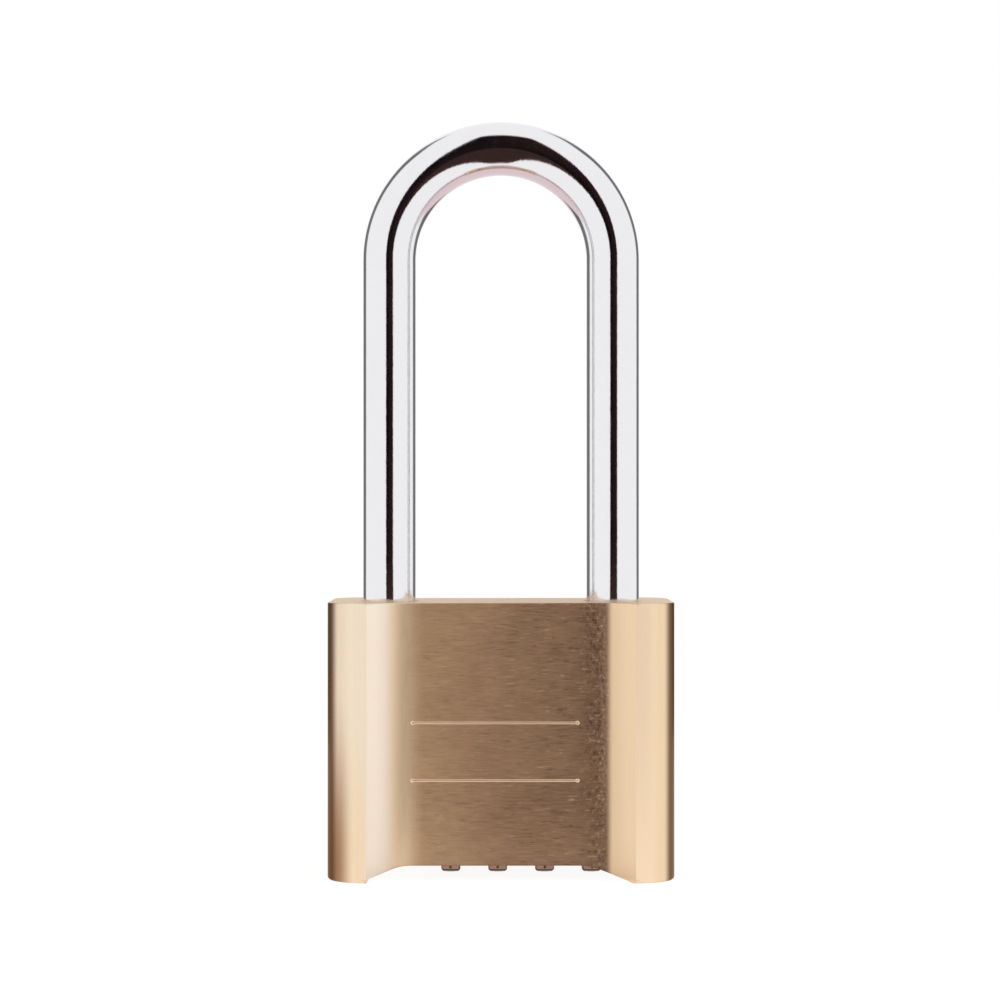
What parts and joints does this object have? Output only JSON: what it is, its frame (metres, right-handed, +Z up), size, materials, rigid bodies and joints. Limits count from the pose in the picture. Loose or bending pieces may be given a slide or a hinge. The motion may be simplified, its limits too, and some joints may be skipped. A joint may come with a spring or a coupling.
{
  "type": "combination padlock",
  "caption": "Padlock with a long chrome shackle, a waisted solid brass case and numbered code dials set in its bottom edge; the code can be changed.",
  "frame": {"origin": "bottom centre of the case, on the plane of its two feet", "axes": "+X towards the toe side, where the shackle's free leg is; -Y is the front with the framed space; +Z up from the case to the bow of the shackle"},
  "size_m": [0.0508, 0.0254, 0.1119],
  "materials": {
    "satin_brass": "satin, brushed lengthwise on the lobes and crosswise on the waist",
    "chrome_steel": "polished chrome plate on hardened steel",
    "dial_brass": "tumbled brass",
    "plug_brass": "satin",
    "bush_brass": "turned",
    "pin_steel": "ground",
    "spring_steel": "oiled spring steel",
    "hardened_steel": "hardened and ground",
    "plated_steel": "zinc plated"
  },
  "bodies": {
    "case_body": {"case": "satin_brass", "end_plug": "plug_brass", "stack_bush": "bush_brass", "lever_pivot_pin": "pin_steel", "heel_stop_pin": "pin_steel", "cam_retaining_ring": "spring_steel", "click_spring": "spring_steel", "spindle_spring": "spring_steel", "wave_washer": "spring_steel"},
    "shackle_body": {"shackle": "chrome_steel"},
    "dial_1": {"dial_wheel_1": "dial_brass"},
    "dial_2": {"dial_wheel_2": "dial_brass"},
    "dial_3": {"dial_wheel_3": "dial_brass"},
    "dial_4": {"dial_wheel_4": "dial_brass"},
    "spindle_body": {"locking_spindle": "hardened_steel"},
    "lever_body": {"locking_lever": "hardened_steel"},
    "cam_body": {"change_cam": "plated_steel"},
    "pusher_body": {"change_pusher": "plated_steel"},
    "sleeve_1": {"code_sleeve_1": "plated_steel"},
    "sleeve_2": {"code_sleeve_2": "plated_steel"},
    "sleeve_3": {"code_sleeve_3": "plated_steel"},
    "sleeve_4": {"code_sleeve_4": "plated_steel"}
  },
  "joints": [
    {"name": "shackle_lift", "type": "slide", "parent": "case_body", "child": "shackle_body", "axis": [0, 0, 1], "range_m": [0, 0.014]},
    {"name": "dial_1_turn", "type": "hinge", "parent": "case_body", "child": "dial_1", "pos_m": [-0.00747, 0, 0.0078], "axis": [1, 0, 0], "continuous": true, "deforming": ["click_spring"]},
    {"name": "dial_2_turn", "type": "hinge", "parent": "case_body", "child": "dial_2", "pos_m": [-0.00049, 0, 0.0078], "axis": [1, 0, 0], "continuous": true},
    {"name": "dial_3_turn", "type": "hinge", "parent": "case_body", "child": "dial_3", "pos_m": [0.00649, 0, 0.0078], "axis": [1, 0, 0], "continuous": true},
    {"name": "dial_4_turn", "type": "hinge", "parent": "case_body", "child": "dial_4", "pos_m": [0.01347, 0, 0.0078], "axis": [1, 0, 0], "continuous": true},
    {"name": "change_turn", "type": "hinge", "parent": "case_body", "child": "cam_body", "pos_m": [0.0182, 0, 0.0238], "axis": [0, 0, 1], "range_deg": [0, 90.05]},
    {"name": "lever_swing", "type": "hinge", "parent": "case_body", "child": "lever_body", "pos_m": [-0.0108, 0, 0.0228], "axis": [0, 1, 0], "range_deg": [0, 11.85]},
    {"name": "spindle_slide", "type": "slide", "parent": "case_body", "child": "spindle_body", "axis": [-1, 0, 0], "range_m": [0, 0.00301], "deforming": ["spindle_spring"]},
    {"name": "pusher_slide", "type": "slide", "parent": "case_body", "child": "pusher_body", "axis": [-1, 0, 0], "range_m": [0, 0.001], "deforming": ["wave_washer"]},
    {"name": "sleeve_1_turn", "type": "hinge", "parent": "pusher_body", "child": "sleeve_1", "pos_m": [-0.00747, 0, 0.0078], "axis": [1, 0, 0], "continuous": true},
    {"name": "sleeve_2_turn", "type": "hinge", "parent": "pusher_body", "child": "sleeve_2", "pos_m": [-0.00049, 0, 0.0078], "axis": [1, 0, 0], "continuous": true},
    {"name": "sleeve_3_turn", "type": "hinge", "parent": "pusher_body", "child": "sleeve_3", "pos_m": [0.00649, 0, 0.0078], "axis": [1, 0, 0], "continuous": true},
    {"name": "sleeve_4_turn", "type": "hinge", "parent": "pusher_body", "child": "sleeve_4", "pos_m": [0.01347, 0, 0.0078], "axis": [1, 0, 0], "continuous": true}
  ],
  "couplings": [
    {"joint": "lever_swing", "follows": "shackle_lift", "rad_per_m": 14.706},
    {"joint": "spindle_slide", "follows": "shackle_lift", "ratio": 0.21429},
    {"joint": "change_turn", "follows": "pusher_slide", "rad_per_m": 1570.8},
    {"joint": "sleeve_1_turn", "follows": "dial_1_turn", "ratio": 1},
    {"joint": "sleeve_2_turn", "follows": "dial_2_turn", "ratio": 1},
    {"joint": "sleeve_3_turn", "follows": "dial_3_turn", "ratio": 1},
    {"joint": "sleeve_4_turn", "follows": "dial_4_turn", "ratio": 1}
  ]
}
